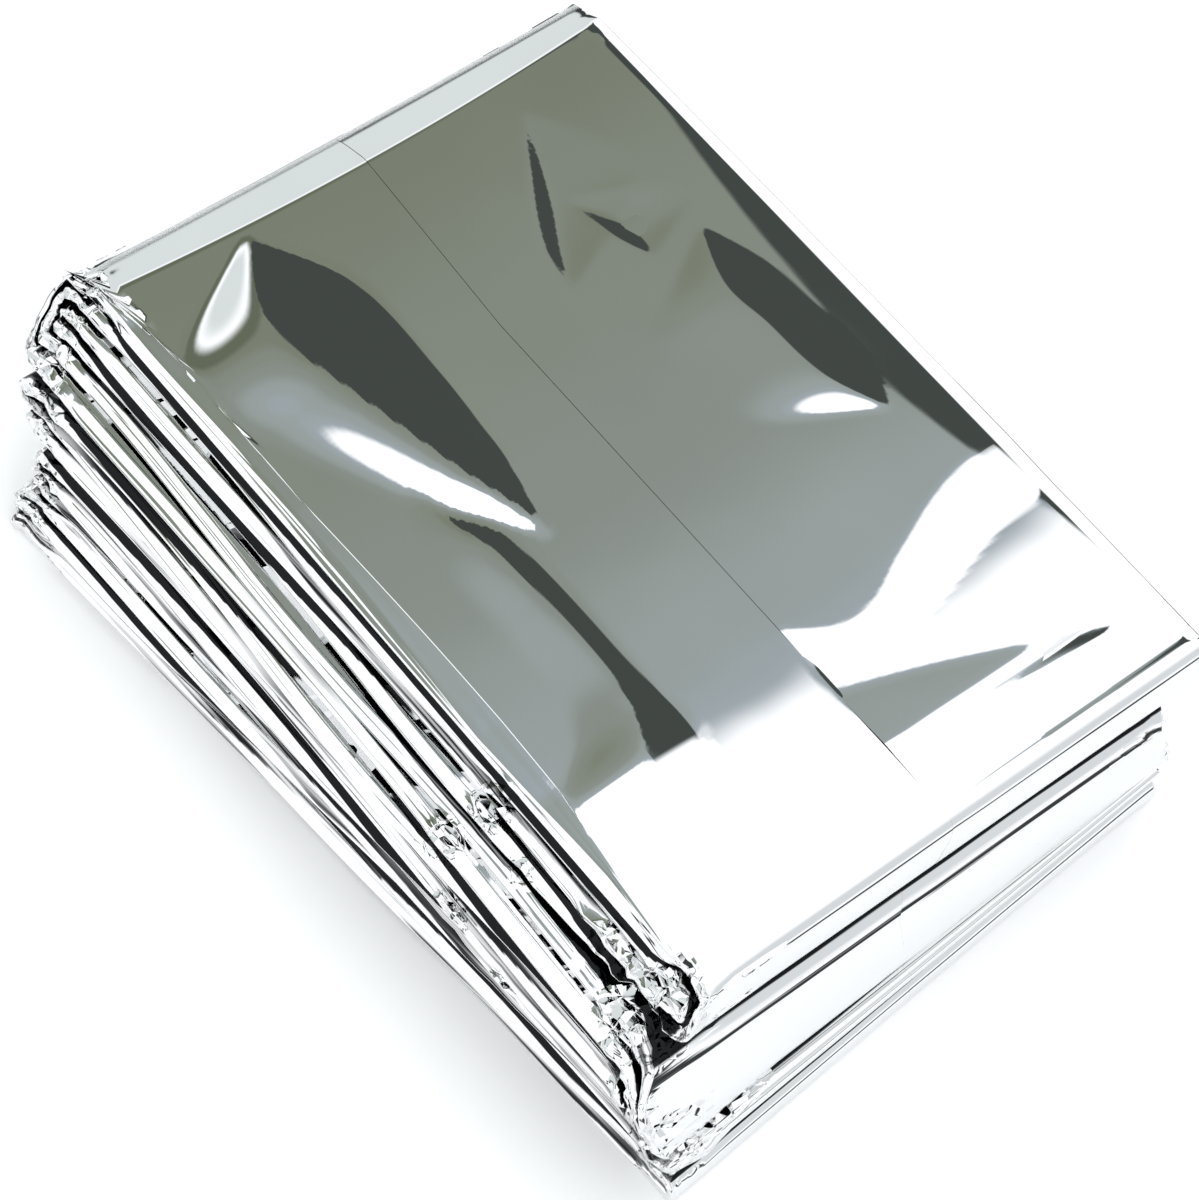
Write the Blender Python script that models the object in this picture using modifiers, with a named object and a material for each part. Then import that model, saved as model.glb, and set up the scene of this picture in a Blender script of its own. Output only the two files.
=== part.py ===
"""Emergency foil blanket, folded: one metallised film sheet, halved four times across its
width into a strip, and the strip laid back and forth into a flat pack of sixteen passes.

The solid is one back-and-forth section of the strip. +X runs along the pack to its front
end, +Y across it, +Z up; the pack rests on z = 0 and the origin is the middle of its foot.
Until it is slumped, the pack stands straight, with its middle over x = 0, y = 0.
"""

import math

import bpy
from mathutils import Matrix, Vector

MM = 0.001

# The cut sheet, and what four halvings each way make of it.
SHEET_WIDTH = 1.40
SHEET_LENGTH = 2.10
HALVINGS = 4
PASSES = 2**HALVINGS
PACK_WIDTH = SHEET_WIDTH / PASSES
PACK_LENGTH = SHEET_LENGTH / PASSES

# A pass is a bundle of film plies with air between them.
BUNDLE = 1.3 * MM
NEST = 1.7 * MM  # centre to centre of bundles that turn round each other

# One row a pass, from the top: the air over it at the front and at the back, and how far
# its long edges wander from side to side, in mm.
AIR_FRONT, AIR_BACK, WANDER = range(3)
PASS_TABLE = (
    (0.00, 0.00, 0.0),
    (0.65, 0.65, 0.3),
    (0.70, 0.65, 0.4),
    (0.65, 0.65, 0.4),
    (1.15, 0.65, 0.3),
    (0.70, 0.70, 0.3),
    (0.65, 1.30, 0.6),
    (0.75, 0.60, 0.3),
    (0.65, 0.60, 0.4),
    (0.70, 1.15, 0.5),
    (0.65, 0.60, 0.3),
    (0.70, 0.95, 0.6),
    (0.90, 0.60, 0.4),
    (0.65, 0.85, 0.5),
    (0.80, 0.60, 0.3),
    (0.65, 0.60, 0.0),
)
WAVES = (1.0, 1.5, 2.0)  # of wander along a pass, the passes taking them in turn
WAVE_LAG = 2.4  # how far round its wave each pass starts after the last, in radians

# One row a nest of folds, turning one inside the other: its top pass, its bottom pass, and
# how far from the pack's middle its outside reaches, in mm.
FRONT_NESTS = ((1, 4, 65.6), (5, 12, 65.6), (13, 14, 65.6), (15, 16, 65.6))
BACK_NESTS = ((1, 6, 72.0), (7, 8, 69.5), (10, 11, 64.5), (12, 13, 66.6), (14, 15, 67.5))
FREE_ENDS = {9: 67.0, 16: 68.0}  # the sheet's two ends, both at the back
CIRCLE = 2.0  # the turn of a single fold
FLAT_FACED = 3.0  # the turns of a nest, pushed out towards a square

# The pack has slumped. One row a height: how far the passes there have slid forward and
# sideways, how far they have turned, in degrees, and how much wider their loose plies have
# spread. The rest is in mm.
HEIGHT, FORWARD, SIDEWAYS, TURN, SPREAD = range(5)
SLUMP_TABLE = (
    (0.0, 7.6, -10.2, 4.1, 5.0),
    (4.0, 5.6, -9.9, 4.1, 5.0),
    (8.0, 6.5, -8.9, 3.1, 5.0),
    (12.0, 5.4, -9.1, 1.8, 5.0),
    (16.0, 4.2, -8.1, 0.3, 5.0),
    (20.0, 3.0, -8.0, 0.1, 2.5),
    (24.0, 1.6, -9.0, 0.0, 0.0),
    (25.0, 1.4, -8.2, 0.0, 0.0),
    (27.0, 1.0, -3.5, 0.0, 0.0),
    (29.0, 0.6, 0.2, 0.0, 0.0),
    (32.0, 0.0, 1.4, 0.0, 0.0),
)

# The top panel slopes down behind a crease, and what lies under it is pressed down too.
CREASE = -63.6 * MM  # at the sides
CREASE_BOW = 1.9 * MM  # further forward in the middle
PINCH = 3.4 * MM
PINCH_LENGTH = 8.2 * MM
PINCH_FADE = 0.18  # less of it with each mm down

# The top pass is drawn in along its left side, and bends down over both sides.
LEFT_BOW = 2.3 * MM
RIGHT_BOW = 0.7 * MM
EDGE_ROUND = 5.0 * MM
EDGE_DROP = 0.3 * MM

# The lowest pass is drawn in between its corners, so the pack stands on those.
FOOT_WAIST = 0.4 * MM

# Soft swells and hollows of the top panel: middle (x, y), half length along and across,
# turn in degrees and height, in mm. They fade out over the passes under it.
SWELLS = (
    (-6.0, 0.0, 48.0, 30.0, 0.0, 1.2),
    (-38.0, 22.0, 22.0, 11.0, 35.0, 0.5),
    (18.0, -20.0, 30.0, 9.0, -8.0, 0.6),
    (34.0, 16.0, 20.0, 14.0, 20.0, 0.5),
    (-24.0, -16.0, 20.0, 8.0, -12.0, -0.6),
    (4.0, 26.0, 30.0, 8.0, 6.0, -0.6),
    (44.0, -8.0, 10.0, 20.0, 0.0, -0.5),
)
SWELL_DEPTH = 8.0 * MM

ACROSS = (0.0, 0.05, 0.15, 0.28, 0.42, 0.58, 0.72, 0.85, 0.95, 1.0)  # shares of the width
TOP_STEPS = 18
PASS_STEPS = 8
TURN_STEPS = 4  # round a fold, and one more for each pass it spans


def height_of(number, x):
    """Height of a pass's middle: the bundles and the air below it, added up."""
    share = x / PACK_LENGTH + 0.5
    below = PASS_TABLE[number:]
    air = sum(row[AIR_BACK] * (1 - share) + row[AIR_FRONT] * share for row in below)
    return BUNDLE * (0.5 + len(below)) + air * MM


PACK_HEIGHT = height_of(1, 0.0) + BUNDLE / 2


def smooth(share):
    share = min(1.0, max(0.0, share))
    return share * share * (3 - 2 * share)


def pass_place(number, x, y):
    """A point of a straight pack's pass, with the bow, waist or slow wander of its edges."""
    if number == 1:
        bow = LEFT_BOW + (RIGHT_BOW - LEFT_BOW) * (y / PACK_WIDTH + 0.5)
        y += bow * (1 - (2 * x / PACK_LENGTH) ** 2)
    elif number == PASSES:
        along, across = 2 * x / PACK_LENGTH, 2 * y / PACK_WIDTH
        x -= along * FOOT_WAIST * (1 - across**2)
        y -= across * FOOT_WAIST * (1 - along**2)
    else:
        waves = WAVES[number % len(WAVES)] * x / PACK_LENGTH
        wave = math.sin(2 * math.pi * waves + WAVE_LAG * number)
        y += PASS_TABLE[number - 1][WANDER] * MM * wave
    return Vector((x, y, height_of(number, x)))


def squared(value, power):
    """A sine or cosine, pushed out towards the square that holds the circle."""
    return math.copysign(abs(value) ** (2 / power), value)


def turn_place(fold, angle, y):
    """A point on a fold's turn. angle is 90 degrees on the upper pass, -90 on the lower."""
    upper, lower, start, outwards, power = fold
    share = 0.5 + squared(math.sin(angle), power) / 2
    place = pass_place(lower, start, y).lerp(pass_place(upper, start, y), share)
    reach = NEST / 2 + (lower - upper - 1) / 2 * NEST
    place.x += outwards * reach * squared(math.cos(angle), power)
    return place


def fold_at(number, nests, outwards):
    """The fold that turns a pass at one end: (upper, lower, start of turn, side, shape)."""
    for top, bottom, reach in nests:
        if top <= number <= bottom:
            upper = min(number, top + bottom - number)
            widest = (bottom - top) / 2 * NEST
            start = outwards * (reach * MM - BUNDLE / 2 - widest)
            power = FLAT_FACED if bottom - top > 1 else CIRCLE
            return upper, top + bottom - upper, start, outwards, power
    return None


def swell_at(x, y):
    """Height of the top panel's soft relief."""
    total = 0.0
    for mid_x, mid_y, along, across, turn, high in SWELLS:
        c, s = math.cos(math.radians(turn)), math.sin(math.radians(turn))
        dx, dy = x / MM - mid_x, y / MM - mid_y
        u = (dx * c + dy * s) / along
        v = (dy * c - dx * s) / across
        total += high * MM * math.exp(-(u * u + v * v))
    return total


def crease_at(y):
    """x of the crease behind the top panel."""
    return CREASE + CREASE_BOW * (1 - (2 * y / PACK_WIDTH) ** 2)


def slump_at(z):
    """The slump table's row for a height, read between the rows next to it."""
    level = min(max(z / MM, SLUMP_TABLE[0][HEIGHT]), SLUMP_TABLE[-1][HEIGHT])
    above = next(k for k, row in enumerate(SLUMP_TABLE) if k and level <= row[HEIGHT])
    low, high = SLUMP_TABLE[above - 1], SLUMP_TABLE[above]
    share = (level - low[HEIGHT]) / (high[HEIGHT] - low[HEIGHT])
    return [a + (b - a) * share for a, b in zip(low, high)]


def slumped(place):
    """A point of the straight pack, where it lies in the real one."""
    x, y, z = place
    depth = PACK_HEIGHT - z
    behind = min(1.0, max(0.0, (crease_at(y) - x) / PINCH_LENGTH))
    lower = behind * max(0.0, PINCH - PINCH_FADE * depth)
    rise = swell_at(x, y) * (1 - smooth(depth / SWELL_DEPTH))
    if depth < BUNDLE:
        rise -= EDGE_DROP * (1 - smooth((PACK_WIDTH / 2 - abs(y)) / EDGE_ROUND))
    row = slump_at(z)
    y *= 1 + row[SPREAD] * MM / PACK_WIDTH
    turned = Vector((x, y)) @ Matrix.Rotation(math.radians(-row[TURN]), 2)
    slid = Vector((row[FORWARD], row[SIDEWAYS])) * MM
    return (turned + slid).to_3d() + Vector((0, 0, z + rise - lower))


def pass_stops(number, back, front, y):
    """x of the points along a pass: its ends, the crease where it has one, and between."""
    start, steps = back, TOP_STEPS if number == 1 else PASS_STEPS
    stops = []
    if back < CREASE:
        stops.append(back)
        start = crease_at(y)
    return stops + [start + (front - start) * k / steps for k in range(steps + 1)]


def section(y):
    """The strip's line through the pack, from one free end to the other, at one place
    across its width."""
    number, forwards, places = min(FREE_ENDS), True, []
    while True:
        front_fold = fold_at(number, FRONT_NESTS, 1)
        back_fold = fold_at(number, BACK_NESTS, -1)
        back = back_fold[2] if back_fold else -FREE_ENDS[number] * MM
        stops = pass_stops(number, back, front_fold[2], y)
        stops = stops if forwards else stops[::-1]
        places += [pass_place(number, x, y) for x in stops]
        fold = front_fold if forwards else back_fold
        if fold is None:
            return [slumped(place) for place in places]
        upper, lower = fold[:2]
        turns = TURN_STEPS + (lower - upper + 1)
        sign = 1 if number == upper else -1
        for k in range(1, turns):
            places.append(turn_place(fold, sign * math.pi * (0.5 - k / turns), y))
        number, forwards = upper + lower - number, not forwards


def strip_surface():
    """The strip's middle surface, an open sheet lofted through its sections."""
    lines = [section((share - 0.5) * PACK_WIDTH) for share in ACROSS]
    count = len(lines[0])
    quads = [
        (a * count + b, a * count + b + 1, (a + 1) * count + b + 1, (a + 1) * count + b)
        for a in range(len(lines) - 1)
        for b in range(count - 1)
    ]
    mesh = bpy.data.meshes.new("foil_blanket")
    mesh.from_pydata([place for line in lines for place in line], [], quads)
    mesh.update()
    return mesh


def foil_material():
    """Aluminium vapour on clear film: bright, and nearly a mirror."""
    material = bpy.data.materials.new("silver_foil")
    material.use_nodes = True
    shader = material.node_tree.nodes["Principled BSDF"]
    shader.inputs["Base Color"].default_value = (0.88, 0.89, 0.90, 1.0)
    shader.inputs["Metallic"].default_value = 1.0
    shader.inputs["Roughness"].default_value = 0.12
    material.diffuse_color = (0.88, 0.89, 0.90, 1.0)
    return material


def build():
    for old in list(bpy.data.objects):
        bpy.data.objects.remove(old)
    collection = bpy.data.collections.new("emergency_foil_blanket")
    bpy.context.scene.collection.children.link(collection)
    mesh = strip_surface()
    mesh.materials.append(foil_material())
    blanket = bpy.data.objects.new("foil_blanket", mesh)
    collection.objects.link(blanket)
    bundle = blanket.modifiers.new("Bundle", "SOLIDIFY")
    bundle.thickness = BUNDLE
    bundle.offset = 0
    bundle.use_even_offset = True
    bundle.thickness_clamp = 0
    bpy.context.view_layer.update()
    shaped = blanket.evaluated_get(bpy.context.evaluated_depsgraph_get())
    corners = [Vector(corner) for corner in shaped.bound_box]
    low = [min(corner[k] for corner in corners) for k in range(3)]
    high = [max(corner[k] for corner in corners) for k in range(3)]
    blanket.location = (-(low[0] + high[0]) / 2, -(low[1] + high[1]) / 2, -low[2])


build()
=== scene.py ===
import math

import bpy
from mathutils import Euler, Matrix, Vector, noise


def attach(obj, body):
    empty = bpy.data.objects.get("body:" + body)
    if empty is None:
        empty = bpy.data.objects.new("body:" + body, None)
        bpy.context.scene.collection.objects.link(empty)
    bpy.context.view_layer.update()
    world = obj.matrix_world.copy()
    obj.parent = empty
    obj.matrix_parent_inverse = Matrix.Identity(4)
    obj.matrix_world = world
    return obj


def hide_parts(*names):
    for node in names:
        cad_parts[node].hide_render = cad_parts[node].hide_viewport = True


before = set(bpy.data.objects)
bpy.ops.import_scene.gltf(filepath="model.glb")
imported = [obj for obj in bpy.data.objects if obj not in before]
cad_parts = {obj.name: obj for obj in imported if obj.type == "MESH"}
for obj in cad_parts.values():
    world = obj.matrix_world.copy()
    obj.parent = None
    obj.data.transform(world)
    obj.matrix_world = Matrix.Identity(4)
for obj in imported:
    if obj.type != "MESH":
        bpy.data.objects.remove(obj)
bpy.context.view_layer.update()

for item in bpy.context.selected_objects:
    item.select_set(False)

noise.seed_set(7)  # without it the crumples fall differently each run
mm = 0.001
packMiddle = Vector((-2.237, 7.801, 0.0))  # the straight pack's middle in the frame, mm

camera = {"place": (0.18520, -0.21016, 0.44542), "turn": (32.16793, -6.38426, 50.96513),
          "lens": 113.98, "film": 36.0}


def placeCamera():
    cameraData = bpy.data.cameras.new("packCamera")
    cameraData.lens = camera["lens"]
    cameraData.sensor_width = camera["film"]
    cameraObject = bpy.data.objects.new("packCamera", cameraData)
    cameraObject.location = camera["place"]
    cameraObject.rotation_euler = Euler([math.radians(a) for a in camera["turn"]])
    bpy.context.scene.collection.objects.link(cameraObject)
    bpy.context.scene.camera = cameraObject


studio = {
    "floorSize": 6.0, "floorColour": (0.86, 0.865, 0.87), "floorGlow": 0.16,
    "white": (1.28, 1.30, 1.32),      # the walls of the light tent
    "haze": (0.82, 0.87, 0.87),       # its far wall
    "wall": (0.80, 0.83, 0.85),       # and its right one
    "horizon": (0.05, 0.055, 0.055),  # the dark gap between tent and table
    # the dull ceiling over the back, from there to the front, by direction x / z
    "ceiling": ((-0.60, (0.228, 0.257, 0.196)), (-0.51, (0.270, 0.302, 0.255)),
                (-0.45, (0.294, 0.326, 0.295)), (-0.39, (0.372, 0.416, 0.406)),
                (-0.35, (0.418, 0.478, 0.529))),
    "ceilingEnd": (0.150, 0.170, 0.120),   # its far end
    "ceilingSide": (0.064, 0.075, 0.068),  # its side to the right
    "keySize": 0.9, "keyPower": 5.0, "keyPlace": (-0.5, 0.6, 1.3),
}


def makeFloor():
    bpy.ops.mesh.primitive_plane_add(size=studio["floorSize"], location=(0, 0, 0))
    floor = bpy.context.active_object
    floor.name = "floor"
    material = bpy.data.materials.new("paleFloor")
    material.use_nodes = True
    nodes, links = material.node_tree.nodes, material.node_tree.links
    shader = nodes["Principled BSDF"]
    shader.inputs["Roughness"].default_value = 0.9
    shader.inputs["Emission Color"].default_value = (1, 1, 1, 1)
    shader.inputs["Emission Strength"].default_value = studio["floorGlow"]
    grain = nodes.new("ShaderNodeTexNoise")
    grain.inputs["Scale"].default_value = 60.0
    place = nodes.new("ShaderNodeTexCoord")
    links.new(place.outputs["Object"], grain.inputs["Vector"])
    tone = nodes.new("ShaderNodeMapRange")
    tone.inputs["To Min"].default_value = 0.99
    tone.inputs["To Max"].default_value = 1.0
    links.new(grain.outputs["Fac"], tone.inputs["Value"])
    paint = nodes.new("ShaderNodeVectorMath")
    paint.operation = "SCALE"
    paint.inputs[0].default_value = studio["floorColour"]
    links.new(tone.outputs["Result"], paint.inputs["Scale"])
    links.new(paint.outputs["Vector"], shader.inputs["Base Color"])
    floor.data.materials.append(material)
    floor.select_set(False)


def mathNode(tree, operation, first, second):
    node = tree.nodes.new("ShaderNodeMath")
    node.operation = operation
    for socket, value in zip(node.inputs, (first, second)):
        if isinstance(value, (int, float)):
            socket.default_value = value
        else:
            tree.links.new(value, socket)
    return node.outputs[0]


def rampNode(tree, value, low, high, atLow=0.0, atHigh=1.0):
    node = tree.nodes.new("ShaderNodeMapRange")
    node.interpolation_type = "SMOOTHSTEP"
    tree.links.new(value, node.inputs["Value"])
    node.inputs["From Min"].default_value = low
    node.inputs["From Max"].default_value = high
    node.inputs["To Min"].default_value = atLow
    node.inputs["To Max"].default_value = atHigh
    return node.outputs["Result"]


def mixNode(tree, share, first, second):
    node = tree.nodes.new("ShaderNodeMix")
    node.data_type = "RGBA"
    if isinstance(share, (int, float)):
        node.inputs["Factor"].default_value = share
    else:
        tree.links.new(share, node.inputs["Factor"])
    for socket, value in ((node.inputs["A"], first), (node.inputs["B"], second)):
        if isinstance(value, (tuple, list)):
            socket.default_value = (*value[:3], 1.0)
        else:
            tree.links.new(value, socket)
    return node.outputs["Result"]


def lightStudio():
    world = bpy.data.worlds.new("lightTent")
    bpy.context.scene.world = world
    world.use_nodes = True
    tree = world.node_tree
    direction = tree.nodes.new("ShaderNodeTexCoord")
    parts = tree.nodes.new("ShaderNodeSeparateXYZ")
    tree.links.new(direction.outputs["Generated"], parts.inputs[0])
    x, y, z = parts.outputs
    # the ceiling, laid out flat
    up = mathNode(tree, "MAXIMUM", z, 0.05)
    across = mathNode(tree, "DIVIDE", x, up)
    along = mathNode(tree, "DIVIDE", y, up)
    colour = studio["ceiling"][0][1]
    for (low, _), (high, tone) in zip(studio["ceiling"], studio["ceiling"][1:]):
        colour = mixNode(tree, rampNode(tree, across, low, high), colour, tone)
    colour = mixNode(tree, rampNode(tree, x, -0.53, -0.50), studio["ceilingEnd"], colour)
    colour = mixNode(tree, rampNode(tree, along, 0.63, 0.65), colour, studio["ceilingSide"])
    # where the ceiling ends and the white walls begin
    inside = rampNode(tree, across, -0.365, -0.350, 1.0, 0.0)
    inside = mathNode(tree, "MULTIPLY", inside, rampNode(tree, y, -0.52, -0.49))
    inside = mathNode(tree, "MULTIPLY", inside, rampNode(tree, y, 0.56, 0.58, 1.0, 0.0))
    inside = mathNode(tree, "MULTIPLY", inside, rampNode(tree, x, -0.62, -0.56))
    around = mixNode(tree, rampNode(tree, x, -0.68, -0.60), studio["haze"], studio["white"])
    # the duller right wall
    wall = mathNode(tree, "MULTIPLY", rampNode(tree, x, 0.25, 0.60), rampNode(tree, z, 0.20, 0.40))
    around = mixNode(tree, mathNode(tree, "MULTIPLY", wall, rampNode(tree, y, -0.1, 0.15)),
                     around, studio["wall"])
    around = mixNode(tree, rampNode(tree, z, 0.13, 0.20, 1.0, 0.0), around, studio["horizon"])
    around = mixNode(tree, rampNode(tree, z, 0.0, 0.05, 1.0, 0.0), around, studio["white"])
    colour = mixNode(tree, inside, around, colour)
    tree.links.new(colour, tree.nodes["Background"].inputs["Color"])
    lamp = bpy.data.lights.new("keySoftbox", "AREA")
    lamp.size = studio["keySize"]
    lamp.energy = studio["keyPower"]
    key = bpy.data.objects.new("keySoftbox", lamp)
    key.location = studio["keyPlace"]
    key.rotation_euler = (Vector((0, 0, 0)) - key.location).to_track_quat("-Z", "Y").to_euler()
    key.visible_glossy = False
    bpy.context.scene.collection.objects.link(key)
    bpy.context.scene.view_settings.view_transform = "Standard"


placeCamera()
makeFloor()
lightStudio()
print("camera, floor and light tent placed")

# All in mm. The strip is the sheet halved four times; it goes back and forth sixteen times.
foil = {
    "sheet": (1.40, 2.10),  # metres
    "passes": 16, "length": 131.25, "width": 87.5,
    "bundle": 1.3, "nest": 1.7, "plyLevel": 0.60,
    # a row a pass from the top: air over it at the front, at the back, wander of its edges
    "passTable": (
        (0.00, 0.00, 0.0), (0.65, 0.65, 0.3), (0.70, 0.65, 0.4), (0.65, 0.65, 0.4),
        (1.15, 0.65, 0.3), (0.70, 0.70, 0.3), (0.65, 1.30, 0.6), (0.75, 0.60, 0.3),
        (0.65, 0.60, 0.4), (0.70, 1.15, 0.5), (0.65, 0.60, 0.3), (0.70, 0.95, 0.6),
        (0.90, 0.60, 0.4), (0.65, 0.85, 0.5), (0.80, 0.60, 0.3), (0.65, 0.60, 0.0)),
    "waves": (1.0, 1.5, 2.0), "waveLag": 2.4,
    # top pass, bottom pass, reach of each nest of folds
    "frontNests": ((1, 4, 65.6), (5, 12, 65.6), (13, 14, 65.6), (15, 16, 65.6)),
    "backNests": ((1, 6, 72.0), (7, 8, 69.5), (10, 11, 64.5), (12, 13, 66.6), (14, 15, 67.5)),
    "freeEnds": {9: 67.0, 16: 68.0},
    # height: slid forward, slid sideways, turned in degrees, spread
    "slump": (
        (0.0, 7.6, -10.2, 4.1, 5.0), (4.0, 5.6, -9.9, 4.1, 5.0), (8.0, 6.5, -8.9, 3.1, 5.0),
        (12.0, 5.4, -9.1, 1.8, 5.0), (16.0, 4.2, -8.1, 0.3, 5.0), (20.0, 3.0, -8.0, 0.1, 2.5),
        (22.5, 2.1, -5.7, 0.0, 1.0), (24.5, 1.5, -3.8, 0.0, 0.0), (26.4, 1.1, -2.4, 0.0, 0.0),
        (28.4, 0.7, -1.0, 0.0, 0.0), (30.4, 0.3, 0.7, 0.0, 0.0), (32.0, 0.0, 1.4, 0.0, 0.0)),
    "crease": -63.6, "creaseBow": 1.9, "creaseSoft": 0.35,
    "pinch": 3.4, "pinchLength": 8.2, "pinchFade": 0.18,
    "leftBow": 2.3, "rightBow": 0.7, "footWaist": 0.4,
    # the left edge of these passes slopes off in a narrow facet: x, its upper edge, its lower
    # edge, how steep
    "facets": {
        1: ((-66.0, -43.3, -43.5, 0.32), (-56.0, -42.3, -43.6, 0.32),
            (-46.0, -42.1, -43.75, 0.32), (-34.0, -42.7, -44.05, 0.32),
            (-21.0, -43.0, -44.3, 0.32), (-8.0, -42.7, -44.5, 0.32),
            (4.0, -42.4, -44.85, 0.32), (20.0, -42.1, -45.2, 0.32),
            (32.0, -42.1, -44.5, 0.32), (45.0, -43.0, -43.9, 0.32),
            (60.0, -43.7, -44.1, 0.32), (66.0, -43.4, -43.7, 0.32)),
        3: ((44.0, -42.4, -43.3, 1.10), (48.0, -41.6, -43.8, 0.20),
            (58.0, -41.6, -44.0, 0.20), (62.0, -42.4, -43.3, 1.10)),
    },
    # the sheet's own long edge, lying along the middle of the top: x, y
    "seam": ((-66.0, 1.7), (-28.6, -0.6), (52.6, -0.8), (70.0, -0.8)),
    # how strong the painted shade is in the gap under a pass at the left side, and under a nest at
    # both ends
    "sidePaintedShade": {1: 0.95, 2: 0.55, 3: 1.0, 4: 0.6, 5: 0.5, 6: 0.9, 7: 0.55, 9: 0.95, 11: 0.6,
                 13: 0.65},
    "nestPaintedShade": {4: 1.0, 12: 0.75, 14: 0.95, 6: 0.9, 8: 0.8, 11: 0.8, 13: 0.8},
    "topShift": 1.35,  # how far the top has slid sideways
    "rightRound": 0.06, "rightFrom": 42.9,  # the top's right edge bends down
}

# Folds of the top, in its own places: which way each runs, height, shape, and rows of where it
# is along that way, where across, and its half width. A step falls steeply and rises slowly.
topFolds = (
    {"runs": "x", "high": -0.15, "shape": "step", "rest": 9.0,  # the leaf behind the seam
     "line": ((-55.5, 24.6, 0.1), (-48.0, 20.8, 1.0), (-40.0, 16.3, 1.7), (-34.0, 13.2, 1.3),
              (-28.0, 11.3, 0.1))},
    {"runs": "x", "high": -0.10, "shape": "step", "rest": 9.0,  # the small dent beside it
     "line": ((-40.0, 20.4, 0.1), (-36.0, 21.7, 1.0), (-31.0, 23.4, 1.3), (-26.0, 24.4, 0.1))},
    {"runs": "y", "high": 0.33, "shape": "ridge",  # the ridge by the bright front
     "line": ((-4.0, 51.8, 11.0), (4.0, 52.6, 9.4), (14.0, 53.8, 7.2), (24.0, 54.9, 4.6),
              (33.0, 55.6, 2.0), (38.0, 56.0, 0.3))},
    {"runs": "y", "high": -0.2, "shape": "step", "rest": 90.0,  # the flap falls to the front
     "line": ((-2.0, 33.0, 3.5), (6.0, 37.5, 3.0), (12.0, 37.5, 3.0), (20.0, 34.5, 4.0),
              (33.0, 30.0, 5.0), (43.0, 29.0, 5.0), (48.0, 29.0, 4.0))},
    {"runs": "x", "high": -0.075, "shape": "step", "rest": 90.0,  # off the edge of the plies below
     "line": ((-50.0, 43.3, 0.1), (-36.0, 42.2, 1.3), (-20.0, 41.2, 2.3), (-4.0, 40.5, 3.0),
              (7.0, 40.0, 3.5), (16.0, 40.6, 2.9), (26.0, 41.5, 2.0), (34.0, 42.5, 1.0),
              (38.0, 43.3, 0.1))},
)

# Soft swells of the top to the left of its seam, and of the flap: how steeply each falls to
# the right, how slowly it rises before that, and rows of x, where across, and half width.
swells = {
    "left": (
        (0.072, 1.9, ((-60.0, -20.0, 0.1), (-49.0, -20.0, 6.5), (-42.0, -19.6, 8.0),
                      (-32.0, -18.4, 7.0), (-20.0, -17.2, 5.2), (-11.0, -16.4, 3.6),
                      (-5.0, -16.0, 2.0), (2.0, -15.8, 0.1))),
        (0.072, 3.0, ((-14.0, -27.0, 0.1), (-8.0, -25.3, 1.2), (-2.0, -22.6, 2.2),
                      (10.0, -21.5, 2.3), (22.0, -21.4, 2.4), (29.0, -22.0, 3.2),
                      (35.0, -23.2, 4.6), (40.0, -23.6, 3.4), (44.0, -24.0, 0.1))),
    ),
    "flap": (
        (0.032, 4.0, ((-26.0, 33.0, 0.1), (-16.0, 32.8, 3.6), (-8.0, 33.4, 3.6),
                      (3.0, 34.0, 3.4), (12.0, 34.6, 0.1))),
    ),
}

# Where the folds are crushed: middle, radius, how hard.
crumples = (
    ((60.5, -47.5, 25.0), 7.0, 1.0), ((62.8, -43.2, 28.5), 4.0, 0.9),
    ((72.0, -48.8, 8.5), 7.0, 1.0), ((67.5, -53.0, 16.0), 4.5, 0.8),
    ((-65.5, -50.0, 25.0), 5.5, 1.0), ((-66.5, -43.0, 29.0), 4.5, 0.9),
    ((-60.5, -54.5, 18.5), 5.0, 0.9), ((-56.0, -57.5, 10.0), 5.0, 0.9),
    ((-57.0, -58.5, 3.0), 5.0, 0.9), ((70.4, 33.9, 24.0), 4.5, 0.9),
    ((71.0, 39.3, 16.0), 4.5, 0.9), ((27.5, -45.8, 27.0), 3.8, 0.8),
    ((25.1, -50.5, 20.0), 3.8, 0.8), ((31.6, -53.8, 14.0), 4.0, 0.8),
    ((-62.5, 44.2, 30.0), 2.8, 0.35), ((42.0, -56.0, 11.0), 4.0, 0.8),
    ((50.0, -46.6, 26.5), 4.0, 0.5), ((36.0, -47.2, 24.5), 3.2, 0.5),
)


def smooth(share):
    share = min(1.0, max(0.0, share))
    return share * share * (3 - 2 * share)


def readTable(table, at):
    # the row of a table for a value of its first column, between the rows next to it
    if at <= table[0][0]:
        return table[0][1:]
    for low, high in zip(table, table[1:]):
        if at <= high[0]:
            share = (at - low[0]) / (high[0] - low[0])
            return [a + (b - a) * share for a, b in zip(low[1:], high[1:])]
    return table[-1][1:]


def passHeight(number, x):
    share = x / foil["length"] + 0.5
    below = foil["passTable"][number:]
    air = sum(row[1] * (1 - share) + row[0] * share for row in below)
    return foil["bundle"] * (0.5 + len(below)) + air


packHeight = passHeight(1, 0.0) + foil["bundle"] / 2


def passPoint(number, x, y):
    if number == 1:
        bow = foil["leftBow"] + (foil["rightBow"] - foil["leftBow"]) * (y / foil["width"] + 0.5)
        y += bow * (1 - (2 * x / foil["length"]) ** 2)
    elif number == foil["passes"]:
        along, across = 2 * x / foil["length"], 2 * y / foil["width"]
        x -= along * foil["footWaist"] * (1 - across**2)
        y -= across * foil["footWaist"] * (1 - along**2)
    else:
        waves = foil["waves"][number % 3] * x / foil["length"]
        wander = foil["passTable"][number - 1][2]
        y += wander * math.sin(2 * math.pi * waves + foil["waveLag"] * number)
    return Vector((x, y, passHeight(number, x)))


def squared(value, power):
    return math.copysign(abs(value) ** (2 / power), value)


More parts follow.
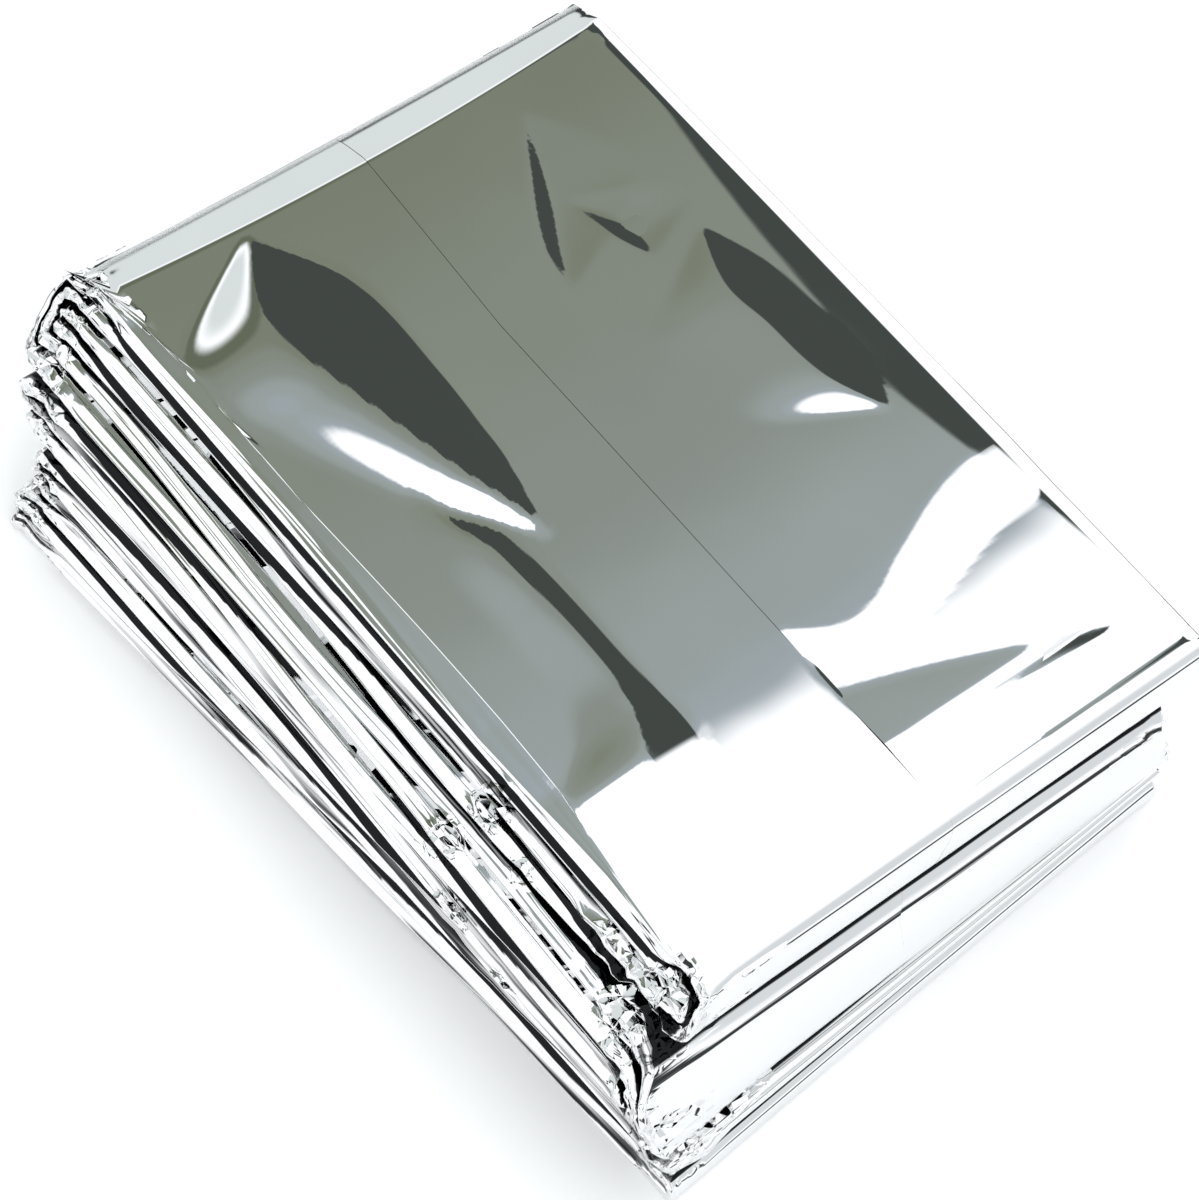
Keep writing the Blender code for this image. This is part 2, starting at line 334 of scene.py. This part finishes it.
def foldAt(number, nests, outwards):
    # the fold at one end of a pass: upper, lower, start of the turn, side, squareness
    for top, bottom, reach in nests:
        if top <= number <= bottom:
            upper = min(number, top + bottom - number)
            widest = (bottom - top) / 2 * foil["nest"]
            start = outwards * (reach - foil["bundle"] / 2 - widest)
            return upper, top + bottom - upper, start, outwards, 3.0 if bottom - top > 1 else 2.0
    return None


def turnPoint(fold, angle, y):
    upper, lower, start, outwards, power = fold
    share = 0.5 + squared(math.sin(angle), power) / 2
    place = passPoint(lower, start, y).lerp(passPoint(upper, start, y), share)
    reach = foil["nest"] / 2 + (lower - upper - 1) / 2 * foil["nest"]
    place.x += outwards * reach * squared(math.cos(angle), power)
    return place


def creaseAt(y):
    return foil["crease"] + foil["creaseBow"] * (1 - (2 * y / foil["width"]) ** 2)


def slumped(place):
    x, y, z = place
    depth = packHeight - z
    soft = foil["creaseSoft"]
    behind = creaseAt(y) - x
    behind = 0.5 * (behind + math.sqrt(behind * behind + soft * soft))
    behind = min(1.0, behind / foil["pinchLength"])
    lower = behind * max(0.0, foil["pinch"] - foil["pinchFade"] * depth)
    forward, sideways, turn, spread = readTable(foil["slump"], z)
    y *= 1 + spread / foil["width"]
    c, s = math.cos(math.radians(turn)), math.sin(math.radians(turn))
    return Vector((x * c - y * s + forward, x * s + y * c + sideways, z - lower))


def crushed(place):
    # how far the sharp little folds of the crumpled places push a point
    push = Vector((0, 0, 0))
    for middle, radius, hard in crumples:
        far = (place - Vector(middle)).length / radius
        if far < 1.5:
            fade = hard * radius * (1 - smooth(far / 1.5))
            seed = Vector((middle[0], middle[2], middle[1]))
            wide = noise.noise_vector(place / (radius * 0.85) + seed)
            fine = noise.noise_vector(place / (radius * 0.38) + seed * 2)
            push += fade * (Vector([abs(v) - 0.2 for v in wide]) * 0.50
                            + Vector([abs(v) - 0.2 for v in fine]) * 0.22)
    return push


def crushAt(place):
    total = 0.0
    for middle, radius, hard in crumples:
        far = (place - Vector(middle)).length / radius
        total += hard * (1 - smooth(far / 1.5))
    return min(1.0, total)


def onLine(rows, at):
    # the rest of a row at a value of its first column, on a smooth line through the rows
    if at <= rows[0][0] or at >= rows[-1][0]:
        return None
    k = next(n for n in range(1, len(rows)) if at < rows[n][0])
    low, high = rows[k - 1], rows[k]
    before, after = rows[max(0, k - 2)], rows[min(len(rows) - 1, k + 1)]
    step = high[0] - low[0]
    t = (at - low[0]) / step
    nearLow, leave, arrive = 2 * t**3 - 3 * t * t + 1, t**3 - 2 * t * t + t, t**3 - t * t
    found = []
    for c in range(1, len(low)):
        startRise = (high[c] - before[c]) / (high[0] - before[0]) * step
        endRise = (after[c] - low[c]) / (after[0] - low[0]) * step
        found.append(nearLow * low[c] + leave * startRise + (1 - nearLow) * high[c]
                     + arrive * endRise)
    return found


def topRelief(x, y):
    total = 0.0
    for fold in topFolds:
        at, across = (x, y) if fold["runs"] == "x" else (y, x)
        found = onLine(fold["line"], at)
        if found and found[1] > 0.05:
            middle, wide = found
            off = (across - middle) / wide
            if fold["shape"] == "step":
                back = smooth((across - middle - wide) / (fold["rest"] * wide))
                shape = min(1.0, max(0.0, (off + 1) / 2)) * (1 - back)
            else:
                shape = max(0.0, 1 - abs(off))
            total += fold["high"] * wide / max(row[2] for row in fold["line"]) * shape
    return total


def topSwell(side, x, y):
    total = 0.0
    for fall, slow, line in swells[side]:
        found = onLine(line, x)
        if found and found[1] > 0.05:
            middle, wide = found
            before = smooth((y - middle + wide + slow * wide) / (slow * wide))
            shape = before if y < middle - wide else max(0.0, (middle + wide - y) / (2 * wide))
            total += fall * 2 * wide * shape
    return total


# The sheet's columns, across the strip from its first long edge to the other: the part, a
# place along that part, a ply, and whether the hidden passes have it too.
def filmColumns():
    columns = []
    for k in range(61):
        columns.append(("flap", k / 60, 0, k in (0, 8, 24, 40, 50, 54, 56, 58, 60)))
    for k in (1, 2, 3):
        columns.append(("fold", k / 4, 0, k == 2))
    for across in (43.5, 32.0, 18.0, 6.0):
        columns.append(("under", across, 1, True))
    for k in range(45):
        columns.append(("under", 2.5 - k, 1, k in (8, 18, 28, 36, 41)))
    columns.append(("under", -99.0, 1, True))  # close to the edge
    for k in range(15):
        columns.append(("edge", k / 14, 1, True))
    for across in (-99.0, -40.0, -34.0, -20.0, 0.0, 20.0, 36.0, 43.5):
        columns.append(("bottom", across, 15, True))
    outer = len(columns)
    order = (15, 14, 2, 3, 13, 12, 4, 5, 11, 10, 6, 7, 9, 8)
    for k, ply in enumerate(order[1:], 1):
        before = order[k - 1]
        if k % 2:  # round the right-hand fold of a pair, then back to the left
            columns.append(("pair", 43.8 - 0.35 * ((k * 5) % 3), (before, ply), True))
            for across in (43.4, 20.0, -20.0, -43.0):
                columns.append(("inner", across, ply, True))
        else:
            columns.append(("nested", 0.25, (before, ply), True))
            columns.append(("nested", 0.5, (before, ply), True))
            columns.append(("nested", 0.75, (before, ply), True))
            for across in (-43.0, -20.0, 20.0, 43.4):
                columns.append(("inner", across, ply, True))
    return columns, outer


def plyLevel(ply):
    return foil["plyLevel"] * (1 - 2 * ply / 15)


def onFacet(x, number):
    rows = foil["facets"].get(number)
    return bool(rows) and (number == 1 or rows[0][0] <= x <= rows[-1][0])


def edgeCorner(x, number):
    # the corner where a bundle's upper face ends at the left, and the sloping facet beyond it
    if onFacet(x, number):
        return readTable(foil["facets"][number], x)
    height = passHeight(number, x)
    above = slumped(Vector((x, -43.0, height + 0.5)))
    below = slumped(Vector((x, -43.0, height - 0.5)))
    shear = (above - below).y
    wide = max(0.5, 1.6 - 1.05 * shear)  # so wide that it is as steep once the pack has slumped
    lower = -43.3 + 0.25 * math.sin(2.4 * number + x / 19)
    return lower + wide, lower, 1.056 / wide


def leftEdge(share, x, number, facing):
    # round the left edge of a bundle, from its upper face to its lower face
    top, end = (plyLevel(1), plyLevel(15)) if facing > 0 else (-plyLevel(15), -plyLevel(1))
    upper, lower, slope = edgeCorner(x, number)
    level = top - slope * (upper - lower)
    if not onFacet(x, number):  # bent down to a thin edge
        corners = ((0.0, upper, top), (0.60, lower, level), (0.86, lower - 0.06, level - 0.05),
                   (1.0, lower + 0.15, end))
        return readTable(corners, share)
    tuck = -43.6
    bend = min(-0.12, level - 0.15)
    outer = min(lower - 0.95 * (level - bend), tuck)
    if number == 1:
        tuck, end = -43.65 - foil["leftBow"] * (1 - (2 * x / foil["length"]) ** 2), -1.0
        outer, bend = tuck + 0.1, end + 0.12
    corners = ((0.0, upper, top), (0.30, lower, level), (0.72, outer, bend),
               (0.86, (outer + tuck) / 2, (bend + end) / 2 - 0.05), (1.0, tuck, end))
    return readTable(corners, share)


def crossPoint(column, x, number=0, facing=1):
    # place across the strip and height in the bundle, upwards on its facing side
    part, at, ply, _ = column
    upper = edgeCorner(x, number)[0] if number else -43.05
    if part == "flap":
        bow = 1.5 * (1 - (2 * x / foil["length"]) ** 2) if number == 1 else 0.0
        seam = readTable(foil["seam"], x)[0] - foil["topShift"] - bow
        return seam + (43.5 - seam) * at, 0.53 + 0.07 * (smooth((53.5 - x) / 2.5) if number else 0)
    if part == "fold":
        angle = math.pi * (0.5 - at)
        return 43.5 + 0.3 * math.cos(angle), 0.56 + 0.04 * math.sin(angle)
    if part == "under":
        low = upper + 0.12 if facing > 0 else -43.1
        return max(at, low), plyLevel(1)
    if part == "edge":
        angle = math.pi * (0.5 - at)
        plain = (-43.15 - 0.5 * squared(math.cos(angle), 2.4),
                 -0.04 + 0.56 * squared(math.sin(angle), 2.4))
        if not number:
            return plain
        across, level = leftEdge(at if facing > 0 else 1 - at, x, number, facing)
        lean = smooth((62.0 - abs(x)) / 6.0)
        return plain[0] + (across - plain[0]) * lean, plain[1] + (level * facing - plain[1]) * lean
    if part == "bottom":
        low = upper + 0.12 if facing < 0 else -43.1
        return max(at, low), plyLevel(15)
    squeeze = 0.55 if number == 1 else 0.8
    if part == "pair":
        level = (plyLevel(ply[0]) + plyLevel(ply[1])) / 2
    elif part == "nested":
        high, low = plyLevel(ply[0]), plyLevel(ply[1])
        angle = math.pi * (0.5 - at)
        level = (high + low) / 2 + (high - low) / 2 * math.sin(angle)
        at = -42.8 - 0.2 * math.cos(angle)
    else:
        level = plyLevel(ply)
    if number == 1:
        return at, plyLevel(15) + (level - plyLevel(15)) * squeeze
    if number and at < -42:  # inside the sloping edge
        upper, lower, _ = edgeCorner(x, number)
        rise = max(0.0, level * squeeze * facing + 0.54) / 1.056
        at = max(at, lower + (upper - lower) * rise + 0.35 + (at + 43.0))
    return at, level * squeeze


def stops(back, front, ends, middle, reach):
    # places along a pass: close together within reach of both ends, wider in between
    near = [reach * k / ends for k in range(ends)]
    run = front - back - 2 * reach
    between = [reach + run * k / middle for k in range(middle + 1)]
    far = [front - back - n for n in reversed(near)]
    return [back + s for s in near + between + far]


def stripRows():
    # rows along the strip, from one end of the sheet to the other: the pass or fold, which
    # side of the strip is up, the place along it, and whether it is a row of inner plies too
    number, forwards, facing, rows = min(foil["freeEnds"]), True, 1, []
    while True:
        frontFold = foldAt(number, foil["frontNests"], 1)
        backFold = foldAt(number, foil["backNests"], -1)
        back = backFold[2] if backFold else -foil["freeEnds"][number]
        front = frontFold[2]
        if number == 1:
            ahead = [("ahead", k / 150) for k in range(151)]
            behind = [("behind", k / 8) for k in range(8)]
            places = behind + ahead
            keep = set(range(0, 8, 2)) | set(range(8, 160, 10)) | {158}
        else:
            places = [("at", x) for x in stops(back, front, 12, 38, 15.0)]
            keep = set(range(0, len(places), 8)) | {len(places) - 1}
        passRows = [("pass", number, facing, place, k in keep) for k, place in enumerate(places)]
        rows += passRows if forwards else passRows[::-1]
        fold = frontFold if forwards else backFold
        if fold is None:
            return rows
        upper, lower = fold[:2]
        count = 8 + 2 * (lower - upper)
        sign = 1 if number == upper else -1
        outside = facing if number == upper else -facing
        for k in range(1, count):
            angle = sign * math.pi * (0.5 - k / count)
            here, there = turnPoint(fold, angle - 0.01, 0), turnPoint(fold, angle + 0.01, 0)
            run = (there - here).normalized()
            out = Vector((-run.z, 0, run.x)) * (1 if fold[3] > 0 else -1)
            if out.x * fold[3] < 0:
                out = -out
            rows.append(("turn", fold, outside, angle, True, out))
        number, forwards, facing = upper + lower - number, not forwards, -facing


def rowPoint(row, column):
    if row[0] == "turn":
        fold, outside, angle = row[1:4]
        across, level = crossPoint(column, fold[2])
        return turnPoint(fold, angle, across) + row[5] * level * outside
    number, facing, (zone, at) = row[1:4]
    top = number == 1
    back = foldAt(1, foil["backNests"], -1)[2]
    front = foldAt(1, foil["frontNests"], 1)[2]
    x = at if zone == "at" else 0.0
    if zone != "at":
        guess = column[1] if column[0] in ("under", "bottom", "inner") else 0.0
        if column[0] == "flap":
            guess = 43.0 * column[1]
        elif column[0] in ("edge", "nested"):
            guess = -43.0
        elif column[0] in ("fold", "pair"):
            guess = 43.5
        crease = creaseAt(guess)
        x = crease + (front - crease) * at if zone == "ahead" else back + (crease - back) * at
    across, level = crossPoint(column, x, number, facing)
    place = passPoint(number, x, across)
    if top:
        x, y = place.x, place.y + foil["topShift"]
        level -= foil["rightRound"] * max(0.0, y - foil["rightFrom"]) ** 2
        if column[0] in ("flap", "fold"):
            level += topRelief(x, y) + topSwell("flap", x, y)
        elif column[0] == "under":
            level += topSwell("left", x, y)
            level += topRelief(x, y) * smooth((y - readTable(foil["seam"], x)[0] + 0.4) / 2.4)
    place.z += level * facing
    return place


def noseLines():
    # where each pass ends at the left, and each nest of folds at its two ends, once slumped
    sides, ends = {}, {}
    for number in range(1, foil["passes"]):
        facing = 1 if number % 2 else -1
        column = ("edge", 0.84 if facing > 0 else 0.16, 1, True)
        line = [slumped(rowPoint(("pass", number, facing, ("at", 6.0 * k), True), column))
                for k in range(-11, 12)]
        sides[number] = [(place.x, place.y) for place in line]
    for side, nests in ((1, foil["frontNests"]), (-1, foil["backNests"])):
        for top, bottom, _ in nests:
            fold = foldAt(top, nests, side)
            line = [slumped(turnPoint(fold, -0.95, 6.0 * k)) for k in range(-8, 9)]
            ends[side, bottom] = [(place.y, place.x) for place in line]
    return sides, ends


def paintedShadeAt(row, column, place, noses):
    # how much painted shade a place gets in its base colour, in the gap between two bundles or two
    # nests of folds
    part, at = column[:2]
    sides, ends = noses

    def under(side, number):
        if (side, number) not in ends:
            return 0.0
        shadeAmount = foil["nestPaintedShade"].get(number, 0.5)
        out = (place.x - readTable(ends[side, number], place.y)[0]) * side
        reach = 0.05 + 0.40 * shadeAmount * (1 - 0.6 * smooth((place.y + 44) / 60))
        return shadeAmount * (1 - smooth((out - reach) / 0.3))

    if row[0] == "turn":
        fold, _, angle = row[1:4]
        nests = foil["frontNests"] if fold[3] > 0 else foil["backNests"]
        top, bottom = next((nest[0], nest[1]) for nest in nests if nest[0] <= fold[0] <= nest[1])
        if fold[0] != top:
            return 0.3 if part == "edge" else 1.0
        shadeAmount = under(fold[3], top - 1) if angle > 0 else 0.0
        below = foil["nestPaintedShade"].get(bottom, 0.0)
        shadeAmount = max(shadeAmount, below * smooth((-math.degrees(angle) - 58) / 20))
        return shadeAmount * 0.5 if part == "edge" else shadeAmount
    number, facing = row[1:3]
    shadeAmount = 0.0
    upward = (part in ("flap", "fold", "under")) == (facing > 0)
    down = at if facing > 0 else 1 - at
    if number > 1 and ((part == "edge" and down < 0.7) or (upward and part != "edge" and at < -36)):
        share = foil["sidePaintedShade"].get(number - 1, 0.5)
        out = readTable(sides[number - 1], place.x)[0] - place.y
        shadeAmount = share * (1 - smooth((out - 0.12 - 0.32 * share) / 0.3))
    elif part == "edge" and number < foil["passes"]:
        shadeAmount = foil["sidePaintedShade"].get(number, 0.5) * smooth((down - 0.85) / 0.12)
    # painted shade: a thin dark line painted into the base colour along the top's right edge
    if part == "fold" and number == 1:  # the thin line along the top's right edge
        shadeAmount = 0.85 * smooth((place.x - 5) / 15)
    if number > 1 and upward and part != "edge" and row[3][0] == "at":
        if foldAt(number, foil["frontNests"], 1)[0] == number and place.x > 40:
            shadeAmount = max(shadeAmount, under(1, number - 1))
        if place.x < -40:
            shadeAmount = max(shadeAmount, under(-1, number - 1))
    return shadeAmount


def makeFilm():
    columns, outer = filmColumns()
    rows = stripRows()
    points, faces, uvs, crush, streak, ripple, paintedShade = [], [], [], [], [], [], []
    grid, noses = [], noseLines()
    run, last = 0.0, None
    for row in rows:
        middle = slumped(rowPoint(row, ("bottom", 0.0, 15, True)))
        run += (middle - last).length if last else 0.0
        last = middle
        fine = row[0] == "pass" and row[1] == 1
        line = {}
        for c, column in enumerate(columns):
            if c < outer and not (fine or column[3]):
                continue
            if c >= outer and not row[4]:
                continue
            slid = place = slumped(rowPoint(row, column))
            hurt = crushAt(place)
            if hurt > 0.02:
                place = place + crushed(place)
            place.z = max(place.z, 0.02)
            line[c] = len(points)
            points.append((place + packMiddle) * mm)
            crush.append(hurt)
            streak.append(1.0 if column[0] == "edge" else 0.12 if row[0] == "turn" else 0.0)
            bent = 1.0 if row[0] == "turn" else smooth((slid.x - 56) / 5)
            ripple.append(0.0 if column[0] == "edge" else bent)
            # painted shade in the gaps, kept as a point attribute that darkens the base colour
            paintedShade.append(paintedShadeAt(row, column, slid, noses))
            uvs.append((c, run))
        grid.append(line)
    # the outer columns, row to row
    for a, b in zip(grid, grid[1:]):
        shared = [c for c in sorted(a) if c in b and c < outer]
        for c, d in zip(shared, shared[1:]):
            low = [a[k] for k in range(c, d + 1) if k in a]
            high = [b[k] for k in range(c, d + 1) if k in b]
            faces.append(low + high[::-1])
    # the inner plies, on fewer rows
    kept = [r for r, row in enumerate(rows) if row[4]]
    for a, b in zip(kept, kept[1:]):
        edge = [grid[r][outer - 1] for r in range(a, b + 1)]
        faces.append(edge + [grid[b][outer], grid[a][outer]])
        for c in range(outer, len(columns) - 1):
            faces.append([grid[a][c], grid[b][c], grid[b][c + 1], grid[a][c + 1]][::-1])
    mesh = bpy.data.meshes.new("foilBlanket")
    mesh.from_pydata(points, [], faces)
    mesh.validate()
    mesh.update()
    # across the sheet, in metres: measured on one row in the middle of the top pass
    across = [0.0]
    for c in range(1, len(columns)):
        row = ("pass", 3, 1, ("at", 0.0), True)
        step = (rowPoint(row, columns[c]) - rowPoint(row, columns[c - 1])).length
        across.append(across[-1] + step * mm)
    layer = mesh.uv_layers.new(name="sheet")
    for loop in mesh.loops:
        c, along = uvs[loop.vertex_index]
        layer.data[loop.index].uv = (across[c], along * mm)
    # crush, streak and ripple shape roughness and bumps; the gap mark is painted shade for the base
    # colour
    marks = {"crush": crush, "streak": streak, "ripple": ripple, "paintedShade": paintedShade}
    for name, values in marks.items():
        mark = mesh.attributes.new(name, "FLOAT", "POINT")
        mark.data.foreach_set("value", values)
    for face in mesh.polygons:
        face.use_smooth = True
    blanket = bpy.data.objects.new("foilBlanket", mesh)
    bpy.context.scene.collection.objects.link(blanket)
    print("film made:", len(points), "points,", len(faces), "faces,",
          round(across[-1], 3), "m wide,", round(run * mm, 3), "m long")
    return blanket


finish = {
    "colour": ((0.80, 0.805, 0.81), (0.87, 0.875, 0.88)), "colourScale": 45.0,
    # near-black painted shade colour for the gaps between plies, bundles and nests
    "paintedShadeColour": (0.014, 0.015, 0.016),
    "rough": (0.014, 0.06),
    "crackScale": 380.0, "crackSlope": 0.8,                   # crumpled places
    "lineScale": 2600.0, "lineDepth": 0.00010,       # thin lines of the plies under the film
    "waveScale": 60.0, "waveDepth": 0.000022,        # unevenness of the film
}


def makeFoilMaterial():
    material = bpy.data.materials.new("silverFoil")
    material.use_nodes = True
    tree = material.node_tree
    nodes, links = tree.nodes, tree.links
    shader = nodes["Principled BSDF"]
    shader.inputs["Metallic"].default_value = 1.0
    place = nodes.new("ShaderNodeTexCoord")
    sheet = nodes.new("ShaderNodeUVMap")
    sheet.uv_map = "sheet"
    marks = {}
    for name in ("crush", "streak", "ripple", "paintedShade"):
        mark = nodes.new("ShaderNodeAttribute")
        mark.attribute_name = name
        marks[name] = mark.outputs["Fac"]

    def noiseNode(scale, detail, vector):
        node = nodes.new("ShaderNodeTexNoise")
        node.inputs["Scale"].default_value = scale
        node.inputs["Detail"].default_value = detail
        links.new(vector, node.inputs["Vector"])
        return node.outputs["Fac"]

    # across or along the sheet, stretched along the bundle or along the fold
    stretch = nodes.new("ShaderNodeCombineXYZ")
    links.new(rampNode(tree, marks["ripple"], 0.0, 1.0, 1.0, 0.012), stretch.inputs["X"])
    links.new(rampNode(tree, marks["ripple"], 0.0, 1.0, 0.012, 1.0), stretch.inputs["Y"])
    along = nodes.new("ShaderNodeVectorMath")
    along.operation = "MULTIPLY"
    links.new(sheet.outputs["UV"], along.inputs[0])
    links.new(stretch.outputs[0], along.inputs[1])
    lines = noiseNode(finish["lineScale"], 1.0, along.outputs["Vector"])

    tone = noiseNode(finish["colourScale"], 1.0, place.outputs["Object"])
    colour = mixNode(tree, tone, *finish["colour"])
    # painted shade: the gap mark, frayed by the ply lines, turns the base colour near black
    shadeFray = mathNode(tree, "MULTIPLY", mathNode(tree, "SUBTRACT", lines, 0.5), 0.6)
    shadeAmount = rampNode(tree, mathNode(tree, "ADD", marks["paintedShade"], shadeFray), 0.42, 0.62)
    colour = mixNode(tree, shadeAmount, colour, finish["paintedShadeColour"])
    links.new(colour, shader.inputs["Base Color"])
    links.new(rampNode(tree, marks["crush"], 0.0, 1.0, *finish["rough"]),
              shader.inputs["Roughness"])
    height = mathNode(tree, "MULTIPLY", noiseNode(finish["waveScale"], 1.0,
                                                  place.outputs["Object"]), finish["waveDepth"])
    crumpled = rampNode(tree, marks["crush"], 0.2, 0.6)
    crack = nodes.new("ShaderNodeTexVoronoi")
    crack.feature = "DISTANCE_TO_EDGE"
    crack.inputs["Scale"].default_value = finish["crackScale"]
    links.new(place.outputs["Object"], crack.inputs["Vector"])
    facet = mathNode(tree, "MULTIPLY", crack.outputs["Distance"],
                     finish["crackSlope"] / finish["crackScale"])
    height = mathNode(tree, "ADD", height, mathNode(tree, "MULTIPLY", facet, crumpled))
    lines = mathNode(tree, "MULTIPLY", lines, finish["lineDepth"])
    height = mathNode(tree, "ADD", height, mathNode(tree, "MULTIPLY", lines, marks["streak"]))
    bump = nodes.new("ShaderNodeBump")
    bump.inputs["Strength"].default_value = 1.0
    bump.inputs["Distance"].default_value = 1.0
    links.new(height, bump.inputs["Height"])
    links.new(bump.outputs["Normal"], shader.inputs["Normal"])
    return material


blanket = makeFilm()
blanket.data.materials.append(makeFoilMaterial())
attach(blanket, "root")
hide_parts("foil_blanket")
print("foil blanket finished")
